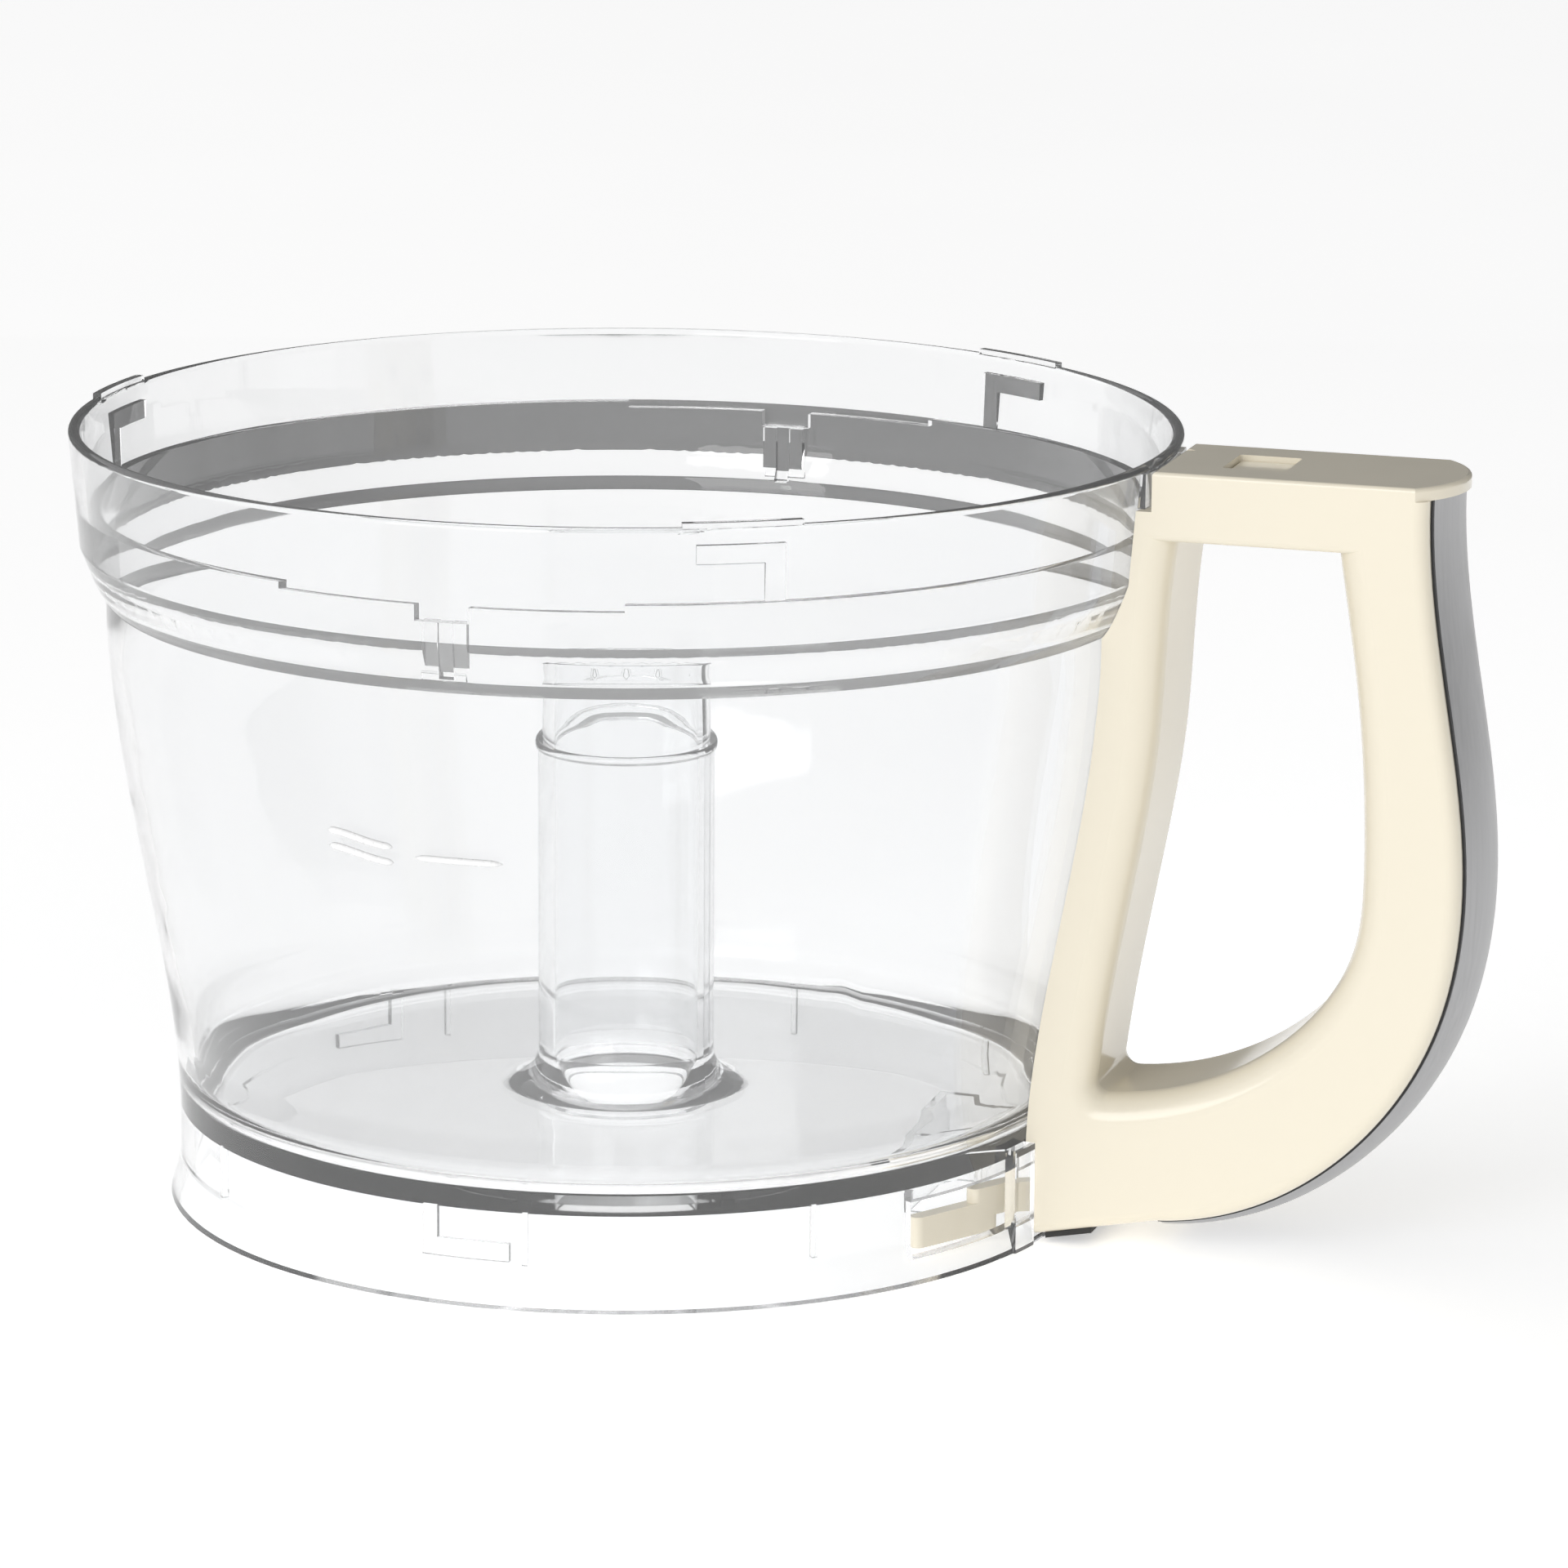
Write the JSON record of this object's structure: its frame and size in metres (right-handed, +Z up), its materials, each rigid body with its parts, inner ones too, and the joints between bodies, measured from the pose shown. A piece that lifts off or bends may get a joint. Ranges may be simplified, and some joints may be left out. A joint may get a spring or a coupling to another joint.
{
  "type": "food processor work bowl",
  "caption": "Clear food processor work bowl with a centre tube and a loop handle that holds a spring plunger, push rod and foot lever.",
  "frame": {"origin": "on the bowl's axis, in the plane of the skirt's lower edge that the bowl stands on", "axes": "+Z up along the bowl's axis, +X from the axis towards the handle"},
  "size_m": [0.2767, 0.2122, 0.1512],
  "materials": {
    "clear_plastic": "clear gloss",
    "cream_plastic": "semi gloss",
    "satin_metal": "satin",
    "black_plastic": "matte",
    "black_rubber": "matte",
    "steel": "bright drawn",
    "white_plastic": "matte"
  },
  "bodies": {
    "bowl": {"work_bowl": "clear_plastic", "handle_shell": "cream_plastic", "top_cover": "cream_plastic", "grip_trim": "satin_metal", "trim_carrier": "black_plastic", "carrier_screws": "steel", "upper_guide": "white_plastic", "foot_guide": "white_plastic", "rod_seal": "black_rubber", "lever_pin": "steel", "lever_spring": "steel", "foot_screw": "steel", "foot_pad": "black_rubber"},
    "plunger": {"plunger": "cream_plastic"},
    "rod": {"push_rod": "steel", "cam_tip": "white_plastic", "spring_collar": "white_plastic", "rod_spring": "steel"},
    "lever": {"foot_lever": "cream_plastic"}
  },
  "joints": [
    {"name": "rod_slide", "type": "slide", "parent": "bowl", "child": "rod", "axis": [-0.1419, 0, -0.9899], "range_m": [0, 0.00304], "stiffness_N_per_m": 300, "springref_m": -0.01, "deforming": ["rod_spring"]},
    {"name": "plunger_slide", "type": "slide", "parent": "bowl", "child": "plunger", "axis": [0, 0, -1], "range_m": [0, 0.00302]},
    {"name": "lever_swing", "type": "hinge", "parent": "bowl", "child": "lever", "pos_m": [0.0915, -0.007, 0.0083], "axis": [0, 0, 1], "range_deg": [-6.5, 0]}
  ],
  "couplings": [
    {"joint": "plunger_slide", "follows": "rod_slide", "ratio": 0.99},
    {"joint": "lever_swing", "follows": "rod_slide", "rad_per_m": -36.2}
  ]
}
